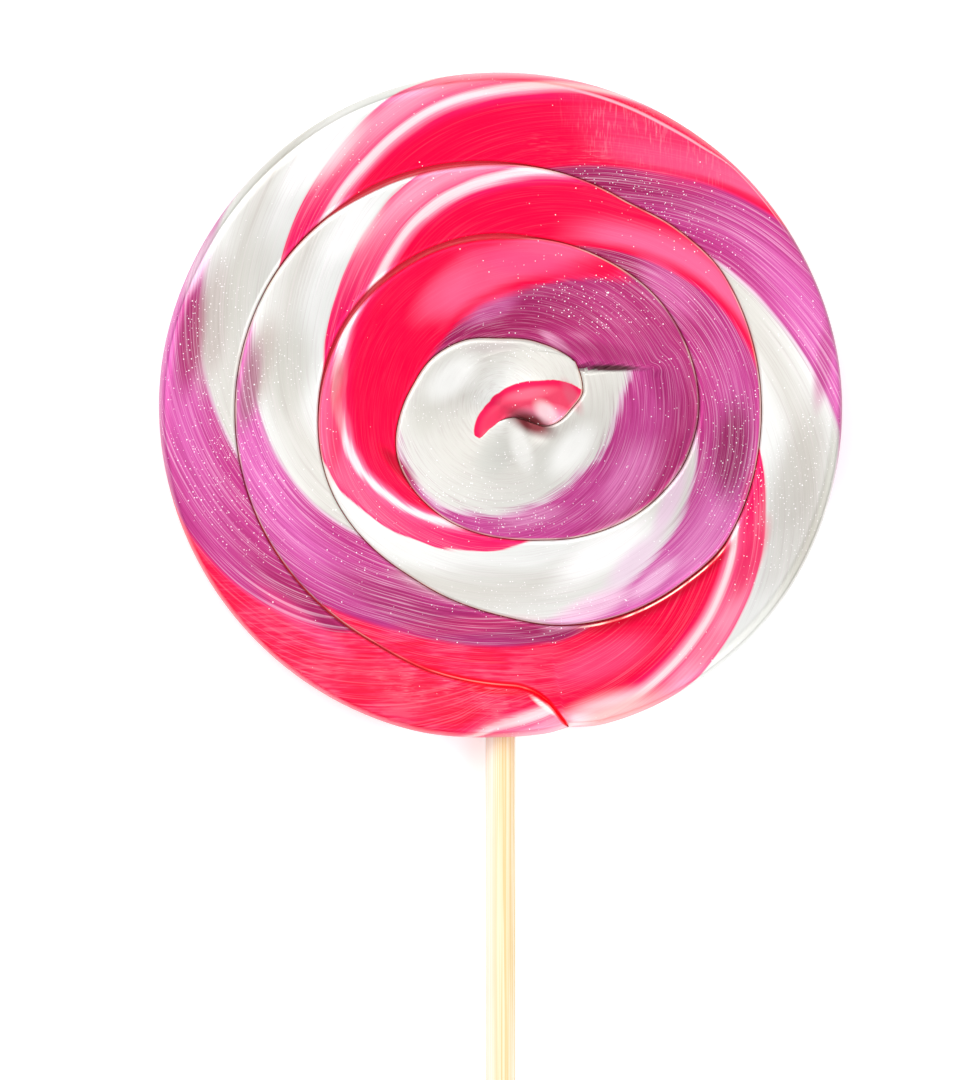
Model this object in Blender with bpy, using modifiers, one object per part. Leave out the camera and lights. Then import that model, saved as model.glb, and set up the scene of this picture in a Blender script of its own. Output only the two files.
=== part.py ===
"""Swirl lollipop: a twisted candy rope coiled flat into a disc, on a bamboo stick.

Metres, +Z up. The lollipop lies on its back with the shown face up and the stick along -Y.
The origin is the middle of the candy's flat back, on the surface that it lies on.

The rope is followed by one running angle in degrees. It grows clockwise from the stick, so 0 is
-Y, 90 is -X, 180 is +Y and 270 is +X, and one turn further in adds 360. The seam is the crease
between two turns of the rope. It starts at the notch in the rim, where the rope's outer end is
tucked in, winds inwards, and ends round the hook in the middle.
"""
import bisect
from collections import namedtuple
from math import cos, exp, hypot, radians, sin, sqrt

import bmesh
import bpy
from mathutils import Matrix, Vector

MM = 0.001
TURN = 360.0

# Disc of candy
THICKNESS = 10.0 * MM
MIDDLE = THICKNESS / 2
RIM_ROUNDING = 1.5 * MM
SEAM_ROUNDING = 1.2 * MM

# Running angles where the seam changes
NOTCH = -12.0
NOTCH_SHUT = -1.0
JUNCTION = 960.0
HOOK_TIP = 1017.0
FOLD_END = 1113.0
SEAM_END = JUNCTION + TURN
JUNCTION_RUN_IN = 15.0

# Depth of the seam on each face of the disc, and the running angles between which it dies away
Face = namedtuple("Face", "is_front seam_depth fade_start fade_end")
FRONT = Face(True, 1.1 * MM, HOOK_TIP, FOLD_END)
BACK = Face(False, 0.6 * MM, JUNCTION, HOOK_TIP)

# Radius of the rim, in mm, at running angles from the notch round to the notch again
RIM = (
    (-12, 43.4), (-8, 43.7), (0, 43.8), (15, 44.4), (30, 44.6), (60, 44.9), (90, 45.1), (120, 44.7),
    (150, 44.4), (180, 44.0), (210, 44.1), (240, 44.5), (270, 45.1), (300, 45.2), (330, 44.6),
    (342, 44.2), (348, 43.4),
)

# Radius of the seam, in mm, from the notch to the junction in the middle
SEAM = (
    (-12, 43.4), (-9, 39.5), (-6, 37.8), (-3, 37.1), (0, 36.9), (15, 36.2), (30, 35.4), (60, 35.3),
    (90, 34.9), (120, 34.3), (150, 33.0), (180, 31.8), (210, 31.5), (225, 32.8), (240, 34.0),
    (270, 34.3), (300, 34.7), (315, 33.4), (330, 31.9), (345, 30.0), (360, 27.7), (375, 26.3),
    (390, 25.4), (420, 25.0), (450, 23.9), (480, 23.0), (510, 22.3), (540, 22.2), (570, 23.3),
    (600, 25.2), (630, 26.1), (645, 25.5), (660, 24.0), (690, 20.1), (705, 18.4), (720, 17.5),
    (750, 16.5), (780, 15.4), (810, 12.8), (825, 11.7), (840, 11.1), (870, 9.8), (900, 8.8),
    (930, 9.6), (945, 10.4), (960, 11.4),
)

# Radius of the hook's outline, in mm: down round its tip, back under its fold, and over the core
HOOK = (
    (960, 11.4), (980, 11.0), (992, 9.5), (1010, 7.4), (1017, 6.0), (1021, 3.7), (1034, 2.3),
    (1060, 1.9), (1082, 2.1), (1104, 3.4), (1113, 5.2), (1150, 5.4), (1200, 5.9), (1260, 6.9),
    (1290, 8.2), (1320, 11.4),
)

# Pleat that runs outwards from the junction, swinging round as it goes
PLEAT_START_ANGLE = 246.0
PLEAT_END_ANGLE = 255.0
PLEAT_END = 18.9 * MM
PLEAT_DEPTH = 1.0 * MM
PLEAT_HALF_WIDTH = 0.5 * MM

# Dimple under the hook's fold, and the hook's raised back
DIMPLE = Vector((3.5, -2.3)) * MM
DIMPLE_DEPTH = 1.0 * MM
DIMPLE_SIZE = 1.6 * MM
HOOK_BACK = Vector((5.5, 1.2)) * MM
HOOK_RISE = 0.4 * MM
HOOK_SIZE = 3.2 * MM

# Stick
STICK_RADIUS = 1.95 * MM
STICK_LENGTH = 142.0 * MM
STICK_INSERTED = 32.0 * MM
STICK_SIDES = 32
STICK_BEVEL = 0.4 * MM
STICK_GAP = 0.3 * MM
RIM_AT_STICK = 43.8 * MM

# Fineness of the candy's faces: columns along the rope, rows across it
COLUMN_STEP = 6
EXTRA_COLUMNS = (244.0, 248.0, 250.0, 253.0, 255.0, 257.0, 351.0, 357.0)
INNER_ROWS = (0.0, 0.08, 0.3, 1.0)
OUTER_ROWS = (1.0, 0.5, 0.2, 0.05, 0.0)
CORE_ROWS = (0.0, 0.25, 0.5, 0.75, 1.0)
ROW_SHARE = 0.47
WELD = 0.005 * MM


def clear_scene():
    for thing in list(bpy.data.objects):
        bpy.data.objects.remove(thing, do_unlink=True)


def new_collection(name):
    group = bpy.data.collections.new(name)
    bpy.context.scene.collection.children.link(group)
    return group


def make_material(name, colour, roughness):
    material = bpy.data.materials.new(name)
    material.use_nodes = True
    shader = material.node_tree.nodes["Principled BSDF"]
    shader.inputs["Base Color"].default_value = (*colour, 1.0)
    shader.inputs["Roughness"].default_value = roughness
    shader.inputs["Metallic"].default_value = 0.0
    material.diffuse_color = (*colour, 1.0)
    return material


def smooth_curve(points):
    """A function through (position, value) points that never swings past them."""
    places = [point[0] for point in points]
    values = [point[1] for point in points]
    rises = [(values[i + 1] - values[i]) / (places[i + 1] - places[i]) for i in range(len(points) - 1)]
    slopes = [rises[0]]
    for before, after in zip(rises, rises[1:]):
        slopes.append(2 * before * after / (before + after) if before * after > 0 else 0.0)
    slopes.append(rises[-1])

    def value_at(place):
        i = min(max(bisect.bisect_right(places, place) - 1, 0), len(rises) - 1)
        span = places[i + 1] - places[i]
        t = min(max((place - places[i]) / span, 0.0), 1.0)
        start = (1 + 2 * t) * (1 - t) ** 2 * values[i] + t * (1 - t) ** 2 * span * slopes[i]
        end = t * t * (3 - 2 * t) * values[i + 1] - t * t * (1 - t) * span * slopes[i + 1]
        return start + end

    return value_at


rim_mm = smooth_curve(RIM)
seam_mm = smooth_curve(SEAM)
hook_mm = smooth_curve(HOOK)


def ease(start, end, place):
    """Rise smoothly from 0 at start to 1 at end."""
    t = min(max((place - start) / (end - start), 0.0), 1.0)
    return t * t * (3 - 2 * t)


def seam_radius(angle):
    return (seam_mm(angle) if angle <= JUNCTION else hook_mm(angle)) * MM


def outer_radius(angle):
    """The rope's outer side is the free rim on its first turn, and then the seam one turn out."""
    return rim_mm(angle) * MM if angle < NOTCH + TURN else seam_radius(angle - TURN)


def seam_groove(angle, face):
    """Depth and rounding of the seam's groove: open at the notch, gone on top of the hook."""
    shut = ease(NOTCH, NOTCH_SHUT, angle)
    left = 1.0 - ease(face.fade_start, face.fade_end, angle)
    left += ease(SEAM_END - JUNCTION_RUN_IN, SEAM_END, angle)
    depth = (MIDDLE + (face.seam_depth - MIDDLE) * shut) * left
    return depth, RIM_ROUNDING + (SEAM_ROUNDING - RIM_ROUNDING) * shut


def outer_groove(angle, face):
    if angle < NOTCH + TURN:
        return MIDDLE, RIM_ROUNDING
    return seam_groove(angle - TURN, face)


def rounding(distance, reach):
    """Quarter-round edge: 1 at the edge itself, 0 from the reach inwards."""
    t = min(distance / reach, 1.0) if reach > 0 else 0.0
    return 1.0 - sqrt(max(1.0 - (1.0 - t) ** 2, 0.0))


def pleat(angle, radius):
    """Narrow crease, deepest at the junction."""
    junction = seam_radius(JUNCTION)
    along = min((radius - junction) / (PLEAT_END - junction), 1.0)
    crease = PLEAT_START_ANGLE + (PLEAT_END_ANGLE - PLEAT_START_ANGLE) * along
    aside = abs((angle - crease + TURN / 2) % TURN - TURN / 2)
    across = max(1.0 - radians(aside) * radius / PLEAT_HALF_WIDTH, 0.0)
    return PLEAT_DEPTH * across * (1.0 - ease(junction, PLEAT_END, radius))


def centre_relief(x, y, dimple_share):
    """Height of the hook's raised back, less the dimple that lies under its fold."""
    dimple_distance = hypot(x - DIMPLE.x, y - DIMPLE.y) / DIMPLE_SIZE
    hook_distance = hypot(x - HOOK_BACK.x, y - HOOK_BACK.y) / HOOK_SIZE
    return HOOK_RISE * exp(-hook_distance ** 2) - dimple_share * DIMPLE_DEPTH * exp(-dimple_distance ** 2)


def place(angle, radius):
    return -radius * sin(radians(angle)), -radius * cos(radians(angle))


def rope_point(angle, row, face):
    """One point of the rope, by its running angle and its row across the rope."""
    inner = seam_radius(angle)
    outer = outer_radius(angle)
    inner_depth, inner_reach = seam_groove(angle, face)
    outer_depth, outer_reach = outer_groove(angle, face)
    width = outer - inner
    if row < len(INNER_ROWS):
        radius = inner + INNER_ROWS[row] * min(inner_reach, ROW_SHARE * width)
    else:
        radius = outer - OUTER_ROWS[row - len(INNER_ROWS)] * min(outer_reach, ROW_SHARE * width)
    from_inner = inner_depth * rounding(radius - inner, min(inner_reach, width))
    from_outer = outer_depth * rounding(outer - radius, min(outer_reach, width))
    x, y = place(angle, radius)
    if face.is_front:
        sunk = max(from_inner, from_outer, pleat(angle, radius))
        return x, y, THICKNESS - sunk + centre_relief(x, y, 1.0)
    return x, y, max(from_inner, from_outer)


def core_point(angle, row, face):
    """One point of the patch inside the hook's outline."""
    edge = seam_radius(angle)
    radius = CORE_ROWS[row] * edge
    depth, reach = seam_groove(angle, face)
    sunk = depth * rounding(edge - radius, reach)
    x, y = place(angle, radius)
    if face.is_front:
        return x, y, THICKNESS - sunk + centre_relief(x, y, ease(0.5, 1.0, CORE_ROWS[row]))
    return x, y, sunk


def rope_columns(start, end):
    """Running angles of the columns, the same on every turn so that neighbouring turns weld."""
    one_turn = sorted([NOTCH + COLUMN_STEP * i for i in range(int(TURN / COLUMN_STEP))]
                      + [angle if angle < NOTCH + TURN else angle - TURN for angle in EXTRA_COLUMNS])
    turns = int((end - NOTCH) // TURN) + 1
    columns = [angle + TURN * turn for turn in range(turns) for angle in one_turn]
    return [angle for angle in columns if start <= angle <= end]


def add_sheet(candy, columns, row_count, point_at, face):
    """Lay a flat grid of columns and rows on one face of the candy."""
    grid = bmesh.ops.create_grid(candy, x_segments=len(columns) - 1, y_segments=row_count - 1, size=1.0)
    for vertex in grid["verts"]:
        column = round((vertex.co.x + 1) / 2 * (len(columns) - 1))
        row = round((vertex.co.y + 1) / 2 * (row_count - 1))
        vertex.co = point_at(columns[column], row, face)


def make_candy(group, material):
    candy = bmesh.new()
    rope = rope_columns(NOTCH, SEAM_END)
    core = rope_columns(JUNCTION, SEAM_END)
    for face in (FRONT, BACK):
        add_sheet(candy, rope, len(INNER_ROWS) + len(OUTER_ROWS), rope_point, face)
        add_sheet(candy, core, len(CORE_ROWS), core_point, face)
    bmesh.ops.remove_doubles(candy, verts=candy.verts, dist=WELD)
    bmesh.ops.dissolve_degenerate(candy, edges=candy.edges, dist=WELD)
    bmesh.ops.recalc_face_normals(candy, faces=candy.faces)
    mesh = bpy.data.meshes.new("candy_swirl")
    candy.to_mesh(mesh)
    candy.free()
    mesh.materials.append(material)
    thing = bpy.data.objects.new("candy_swirl", mesh)
    group.objects.link(thing)
    return thing


def make_rod(name, group, radius, start, end):
    """A round rod along Y at the middle of the candy's thickness."""
    rod = bmesh.new()
    bmesh.ops.create_cone(rod, cap_ends=True, segments=STICK_SIDES, radius1=radius, radius2=radius,
                          depth=end - start, matrix=Matrix.Rotation(radians(90), 4, "X"))
    mesh = bpy.data.meshes.new(name)
    rod.to_mesh(mesh)
    rod.free()
    thing = bpy.data.objects.new(name, mesh)
    thing.location = (0.0, (start + end) / 2, MIDDLE)
    group.objects.link(thing)
    return thing


def make_stick(group, material):
    inner_end = STICK_INSERTED - RIM_AT_STICK
    stick = make_rod("stick", group, STICK_RADIUS, inner_end - STICK_LENGTH, inner_end)
    stick.data.materials.append(material)
    bevel = stick.modifiers.new("End bevel", "BEVEL")
    bevel.width = STICK_BEVEL
    bevel.segments = 2
    bevel.limit_method = "ANGLE"
    return stick


def cut_socket(candy, cutters):
    """Blind hole that the stick sits in, open at the rim."""
    socket_end = STICK_INSERTED - RIM_AT_STICK + STICK_GAP
    mouth = -RIM_AT_STICK - 5.0 * MM
    cutter = make_rod("socket_cutter", cutters, STICK_RADIUS + STICK_GAP, mouth, socket_end)
    cutter.hide_render = True
    cutter.display_type = "WIRE"
    socket = candy.modifiers.new("Stick socket", "BOOLEAN")
    socket.operation = "DIFFERENCE"
    socket.object = cutter


def main():
    clear_scene()
    parts = new_collection("swirl_lollipop")
    cutters = new_collection("cutters")
    red_candy = make_material("pulled_candy", (0.86, 0.10, 0.27), 0.25)
    pale_bamboo = make_material("bamboo", (0.87, 0.68, 0.42), 0.6)
    candy = make_candy(parts, red_candy)
    make_stick(parts, pale_bamboo)
    cut_socket(candy, cutters)
    for thing in parts.objects:
        thing.data.shade_smooth()
        thing.data.set_sharp_from_angle(angle=radians(35))


main()
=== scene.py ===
"""Looks of the swirl lollipop: coiled candy rope with its twisted stripes, and the bamboo stick.

The rope is followed by one running angle in degrees, clockwise from the stick: 0 is -Y, 90 is -X,
180 is +Y, 270 is +X, and one turn further in adds 360. The seam is the crease between two turns.
The twist is a running number too, and each whole number is one full set of stripes.
"""
import bisect
from math import cos, exp, hypot, radians, sin, sqrt

import bpy
import numpy as np
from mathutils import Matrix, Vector, noise


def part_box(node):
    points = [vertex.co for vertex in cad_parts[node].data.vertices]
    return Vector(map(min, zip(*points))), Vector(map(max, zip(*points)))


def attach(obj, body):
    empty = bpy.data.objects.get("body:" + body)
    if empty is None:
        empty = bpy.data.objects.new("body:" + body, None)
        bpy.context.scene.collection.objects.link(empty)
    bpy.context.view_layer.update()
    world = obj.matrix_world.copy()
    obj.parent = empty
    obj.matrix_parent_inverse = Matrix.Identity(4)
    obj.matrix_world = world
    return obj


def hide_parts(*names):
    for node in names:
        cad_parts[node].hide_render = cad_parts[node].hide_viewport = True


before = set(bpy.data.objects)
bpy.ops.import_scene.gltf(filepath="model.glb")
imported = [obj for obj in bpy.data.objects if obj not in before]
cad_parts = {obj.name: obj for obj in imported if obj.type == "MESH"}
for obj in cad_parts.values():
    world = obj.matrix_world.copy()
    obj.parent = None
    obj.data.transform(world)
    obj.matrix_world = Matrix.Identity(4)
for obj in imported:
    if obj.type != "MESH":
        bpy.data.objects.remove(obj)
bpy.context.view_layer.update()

MM = 0.001
TURN = 360.0

# The candy's flat faces, and the stick as model.glb gives it
THICKNESS = 10.0 * MM
MIDDLE = THICKNESS / 2
stick_low, stick_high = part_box("stick")
STICK_RADIUS = (stick_high.x - stick_low.x) / 2
STICK_BEVEL = 0.4 * MM

# Camera framing: the picture's size and the disc's centre in pixels, and the size of a pixel
PHOTO_WIDTH = 980.0
PHOTO_HEIGHT = 1080.0
DISC_CENTRE_X = 500.5
DISC_CENTRE_Y = 405.0
PIXEL = 90.0 * MM / 685.0
CAMERA_DISTANCE = 0.9
SENSOR_WIDTH = 36.0

# Running angles where the seam changes
NOTCH = -12.0
NOTCH_SHUT = -5.0
JUNCTION = 960.0
HOOK_TIP = 1017.0
FOLD_END = 1113.0
SEAM_END = JUNCTION + TURN
JUNCTION_RUN_IN = 5.0

# Radius of the rim, in mm
RIM = (
    (-12, 43.4), (-8, 43.7), (0, 43.8), (15, 44.4), (30, 44.6), (60, 44.9), (90, 45.1), (120, 44.7),
    (150, 44.4), (180, 44.0), (210, 44.1), (240, 44.5), (270, 45.1), (300, 45.2), (330, 44.6),
    (342, 44.2), (348, 43.4),
)

# Radius of the seam, in mm, from the notch to the junction in the middle
SEAM = (
    (-12, 43.4), (-9, 39.5), (-6, 37.8), (-3, 37.1), (0, 36.9), (15, 36.2), (30, 35.4), (60, 35.3),
    (90, 34.9), (120, 34.3), (150, 33.0), (180, 31.8), (210, 31.5), (225, 32.8), (240, 34.0),
    (270, 34.3), (300, 34.7), (315, 33.4), (330, 31.9), (345, 30.0), (360, 27.7), (375, 26.3),
    (390, 25.4), (420, 25.0), (450, 23.9), (480, 23.0), (510, 22.3), (540, 22.2), (570, 23.3),
    (600, 25.2), (630, 26.1), (645, 25.5), (660, 24.0), (690, 20.1), (705, 18.4), (720, 17.5),
    (750, 16.5), (780, 15.4), (810, 12.8), (825, 11.7), (840, 11.1), (870, 9.8), (900, 8.8),
    (930, 9.6), (945, 10.4), (960, 11.4),
)

# Radius of the hook's outline, in mm: down round its tip, back under its fold, and over the core
HOOK = (
    (960, 11.4), (980, 11.0), (992, 9.5), (1010, 7.4), (1017, 6.0), (1021, 3.7), (1034, 2.3),
    (1060, 1.9), (1082, 2.1), (1104, 3.4), (1113, 5.2), (1150, 5.4), (1200, 5.9), (1260, 6.9),
    (1290, 8.2), (1320, 11.4),
)

# Half width of the open gap in the seam, in mm: mostly a hairline, open at the top of each turn
HALF_GAP = (
    (-12, 0.0), (-3, 0.05), (15, 0.12), (50, 0.12), (75, 0.06), (100, 0.05), (135, 0.12), (150, 0.38),
    (170, 0.34), (185, 0.12), (200, 0.05), (285, 0.05), (305, 0.10), (335, 0.10), (360, 0.05), (440, 0.05),
    (465, 0.2), (510, 0.36), (540, 0.36), (553, 0.1), (570, 0.05), (1000, 0.05), (1100, 0.02), (1113, 0.0),
    (1315, 0.0), (1320, 0.05),
)

# Twist where each stripe meets the inner seam and the outer side: running angle, twist
TWIST_INNER = (
    (-30, 0.0), (-18.5, 0.06), (-15, 0.10), (-11.5, 0.15), (33.3, 0.43), (78.9, 0.725), (121.7, 1.0),
    (136.6, 1.10), (192, 1.43), (236.7, 1.725), (279.8, 2.0), (296.9, 2.10), (337.7, 2.43),
    (407.1, 2.725), (460.1, 3.0), (491, 3.10), (568.4, 3.43), (639.6, 3.725), (708.4, 4.0),
    (740.6, 4.10), (847.8, 4.43), (975, 4.60),
)
TWIST_OUTER = (
    (-18, 0.0), (0.5, 0.06), (3.9, 0.10), (8, 0.15), (73.6, 0.43), (125, 0.725), (166.3, 1.0),
    (198, 1.10), (239.9, 1.43), (277.2, 1.725), (327, 2.0), (347.4, 2.10), (403.9, 2.43),
    (470.4, 2.725), (522.2, 3.0), (550.1, 3.10), (624.7, 3.43), (713.6, 3.725), (794.3, 4.0),
    (841, 4.10), (950.2, 4.43), (975, 4.50),
)

# How far the twist lags down the rim, and across the back
RIM_LAG = 0.04
BACK_LAG = 0.30

# Past the pleat the purple ends on this line round the core, radius in mm
CORE_PURPLE_END = (
    (920, 17.5), (975, 17.5), (986, 16.1), (999, 15.2), (1016, 14.5), (1037, 13.7), (1062, 14.1),
    (1083, 14.6), (1098, 14.8), (1113, 15.3), (1153, 14.2), (1200, 15.1), (1280, 16.5),
)
PURPLE_END_TWIST = 4.725
PURPLE_TWIST_PER_MM = 0.027
WHITE_TWIST_PER_MM = 0.013
CORE_TURN_START = 990.0

# The grain is the value that a drawn streak keeps: the twist at first, the radius round the core
CORE_GRAIN = 4.56
GRAIN_PER_MM = 0.03
GRAIN_TURN_START = 500.0
GRAIN_TURN_END = 750.0
GRAIN_LEVEL_END = 870.0

# Where the stripes flow past the notch, radius in mm: on under the tail, and on above its tip
FLOW_OUTER = ((330, 44.6), (345, 43.2), (360, 40.2), (375, 37.3), (390, 35.6), (400, 35.4))
FLOW_INNER = ((-12, 37.7), (0, 36.9))

# Upper edge of the pink hook: running angle, radius in mm
HOOK_PINK = (
    (1113, 5.6), (1122, 5.2), (1136, 4.0), (1146, 3.2), (1160, 2.3), (1195, 1.5), (1248, 1.6), (1280, 2.5),
    (1296, 3.5), (1307, 4.6), (1318, 6.1), (1325, 7.9), (1330, 9.0), (1335, 10.1), (1339, 10.8),
)
HOOK_EDGE_START = 1116
HOOK_EDGE_END = 1339

# The pleat runs level out from the core and narrows to nothing, where the purple laps over the white
PLEAT_HEIGHT = 4.85 * MM
PLEAT_START = 10.6 * MM
PLEAT_END = 18.9 * MM
PLEAT_DEPTH = 1.0 * MM
PLEAT_HALF_WIDTH = 0.5 * MM
PLEAT_END_WIDTH = 0.25
PLEAT_END_DEPTH = 0.15
PLEAT_BLEND_END = 26.0 * MM
PLEAT_BLEND = 5.0 * MM
LAP_BLEND = 0.05 * MM
PLEAT_TURN_START = 920.0
PLEAT_TURN_END = 1030.0

# Dimple and hook relief
DIMPLE = Vector((3.5, -2.3)) * MM
DIMPLE_DEPTH = 1.0 * MM
DIMPLE_SIZE = 1.6 * MM
HOOK_BACK = Vector((5.5, 1.2)) * MM
HOOK_RISE = 0.4 * MM
HOOK_SIZE = 3.2 * MM

# Shape across the rope
RIM_REACH = (
    (-12, 0.9), (60, 0.9), (100, 1.1), (120, 1.35), (165, 1.5), (208, 1.5), (217, 1.2), (225, 0.6),
    (300, 0.6), (348, 0.9),
)
SEAM_ROUNDING = 0.65 * MM
FRONT_EDGE_DEPTH = 0.32 * MM
FRONT_CRACK_DEPTH = 1.3 * MM
OPEN_GAP = 0.25 * MM
OPEN_GAP_DEPTH = 0.8 * MM
BACK_EDGE_DEPTH = 0.45 * MM
BACK_CRACK_DEPTH = 0.8 * MM
CROWN = 0.10 * MM
RIPPLE = 0.06 * MM
RIPPLE_LENGTH = 6.0 * MM

# Fineness: rows across the rope, the share of the width that one edge may take, the thickness of a
# crack's wall, and columns a degree apart but closer in the fine stretches
EDGE_STEPS = (0.06, 0.14, 0.25, 0.4, 0.6, 0.8, 1.0)
MIDDLE_STEPS = 9
BACK_EDGE_STEPS = (0.2, 0.5, 1.0)
BACK_MIDDLE_STEPS = 2
CORE_STEPS = 14
EDGE_ROOM = 0.48
CORE_EDGE_ROOM = 0.6
WALL = 0.012 * MM
WELD = 0.002 * MM
FINE_PARTS = 4
NOTCH_FINE_END = 12
PLEAT_FINE_START = 254
PLEAT_FINE_END = 274

# Stands for a distance that no shade reaches
FAR = 9.0

# Colours, as sRGB bytes
RED = (250, 0, 66)
HOT_PINK = (246, 26, 100)
MID_PINK = (250, 84, 134)
LIGHT_PINK = (252, 146, 176)
STRIPE_WHITE = (253, 222, 228)
PLUM = (162, 36, 94)
PURPLE = (184, 54, 128)
ORCHID = (210, 98, 172)
PALE_ORCHID = (214, 178, 200)
PEARL = (208, 206, 199)
WHITE = (228, 229, 226)
# Painted pink sheen in the red before the purple
PINK_PAINTED_SHEEN = (254, 118, 166)
LINE_LIGHT = (244, 214, 232)
LINE_DARK = (205, 150, 178)
WORN_RED = (248, 60, 104)
DASH_LIGHT = (254, 124, 146)
DASH_DARK = (226, 0, 42)
SCUFF = (255, 150, 168)
GLITTER = (255, 250, 252)
CORAL = (224, 66, 98)
HOOK_EDGE = (226, 22, 80)
# Painted shade and a painted highlight line on the rim
RIM_GREY_PAINTED_SHADE = (222, 222, 217)
RIM_SHOULDER_PAINTED_SHADE = (214, 214, 209)
RIM_PINK_PAINTED_SHADE = (255, 206, 200)
RIM_PAINTED_HIGHLIGHT_LINE = (255, 186, 200)
RIM_DUSK_PAINTED_SHADE = (196, 140, 172)
# Painted glow in the notch's crease
CREASE_RED_PAINTED_GLOW = (236, 4, 34)
# Red of the crack with painted shade, painted highlight on the lips, painted shadow under the ledge
CRACK_RED_WITH_PAINTED_SHADE = (214, 52, 70)
LIP_PAINTED_HIGHLIGHT = (255, 232, 214)
LEDGE_PAINTED_SHADOW = (190, 0, 30)
BAMBOO_DARK = (234, 206, 146)
# Painted highlight on the bamboo's left side
BAMBOO_PAINTED_HIGHLIGHT = (252, 243, 228)

# One set of stripes, by its share of the twist, near the inner seam and towards the outer side
STRIPES_INSIDE = (
    (0.0, HOT_PINK), (0.06, HOT_PINK), (0.084, MID_PINK), (0.097, STRIPE_WHITE), (0.111, STRIPE_WHITE),
    (0.122, MID_PINK), (0.14, RED), (0.41, RED), (0.43, PLUM), (0.50, PLUM), (0.60, PURPLE),
    (0.71, PURPLE), (0.72, PALE_ORCHID), (0.73, PEARL), (0.85, PEARL), (0.92, WHITE), (0.995, WHITE),
    (1.0, HOT_PINK),
)
STRIPES_OUTSIDE = (
    (0.0, MID_PINK), (0.02, LIGHT_PINK), (0.06, LIGHT_PINK), (0.083, MID_PINK), (0.097, STRIPE_WHITE),
    (0.114, STRIPE_WHITE), (0.125, LIGHT_PINK), (0.14, HOT_PINK), (0.17, RED), (0.41, RED),
    (0.43, PURPLE), (0.60, ORCHID), (0.71, ORCHID), (0.722, PALE_ORCHID), (0.735, WHITE), (0.85, PEARL),
    (0.92, WHITE), (0.995, WHITE), (1.0, MID_PINK),
)
PALER_TURNS = (1.85, 2.1)

# The red and the purple in that set: middle, and how far out each ends and is whole
RED_PLACE = (0.265, 0.165, 0.145)
PURPLE_PLACE = (0.58, 0.17, 0.14)

# Colours of the hook by the distance in from its edge, and of the bamboo by its fibres
HOOK_STOPS = ((0.0, HOOK_EDGE), (0.10, HOOK_EDGE), (0.26, CORAL), (0.6, CORAL), (0.9, LIGHT_PINK))
HOOK_RAMP_MM = 5.0
BAMBOO_STOPS = ((0.42, (232, 202, 146)), (0.49, (242, 222, 180)), (0.55, (250, 242, 222)))

# Streaks: length along the rope, how the stripes' edges sway with them, and the core's frayed edge
ALONG_PER_TURN = TURN / 25
BROAD_SWAY = 0.02
WOBBLE_SWAY = 0.012
CORE_FRAYING = (2.6, 2.75, 0.012, 0.036)
LINE_DEPTH = 0.04 * MM
CALMER_TURNS = (2.3, 2.6)
LOUD_HEIGHT = -20 * MM

# Where a painted pink sheen pales the red before the purple: first and last turn, and strength
GLOW_TURNS = ((1.54, 1.80, 0.6), (0.54, 0.70, 0.5), (2.38, 2.62, 0.5))
GLOW_FADE = 0.06
GLOW_PLACE = (0.25, 0.345, 0.37, 0.412)

# Worn red near the bottom, with level dashes
WORN_HEIGHTS = (-12 * MM, -32 * MM)
WORN_SIDES = (14 * MM, -2 * MM)
PATCH_SIZE = 6 * MM
DASH_WIDTH = 0.30 * MM
DASH_STRETCH = (0.08, 1.0, 1.0)

# Parts of the rim and the seam by their turns, where the painted shade, painted highlights and the crease's
# painted glow fall: where each starts, is whole from and to, and ends
RIM_UPPER_LEFT = (0.29, 0.34, 0.45, 0.49)
RIM_TOP = (0.455, 0.475, 0.55, 0.60)
RIM_UPPER_RIGHT = (0.52, 0.55, 0.64, 0.68)
RIM_RIGHT = (0.62, 0.66, 0.765, 0.80)
RIM_LOWER_RIGHT = (0.74, 0.77, 0.83, 0.925)
RIM_BY_NOTCH = (0.905, 0.925, 0.95, 0.965)
NOTCH_CREASE = (0.9665, 0.968, 1.02, 1.08)
LEDGE = (0.825, 0.85, 0.93, 0.955)
LIP_START = (0.96, 0.98)

# Widths of the painted shade on the rim, in mm from it, and the painted highlight line on the ledge as a
# share of the rope's width
SHOULDER = (0.25, 0.5, 1.15, 1.9)
RIM_PINK_WIDTH = (3.2, 1.4)
LEDGE_LINE = (0.028, 0.013, 0.004)

# Glitter: spacing of the dots and their size as a share of it, and the size of the loose clouds
GLITTER_LAYERS = ((0.38 * MM, 0.18), (1.5 * MM, 0.065))
CLOUD_SIZE = 12 * MM

# Bamboo
FIBRE_WIDTH = 0.25 * MM
FIBRE_BAND = 1.2 * MM
FIBRE_DEPTH = 0.05 * MM
FIBRE_STRETCH = (1.0, 0.006, 1.0)
BAMBOO_LIT_SIDE = (0.2 * MM, -1.6 * MM)

# Studio: azimuth, elevation, size in metres and watts of each softbox
SOFTBOXES = (
    ("key_light", 130, 52, 0.45, 2.5),
    ("fill_light", -40, 52, 0.45, 1.7),
    ("right_light", 30, 48, 0.35, 0.65),
    ("left_light", 210, 48, 0.35, 0.65),
)
SOFTBOX_DISTANCE = 0.6
WORLD_LIGHT = 0.32
FLOOR_SIZE = 6.0
FLOOR_GLOW = 0.25

# Share of a soft spot that is at full strength
SPOT_CORE = 0.7
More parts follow.
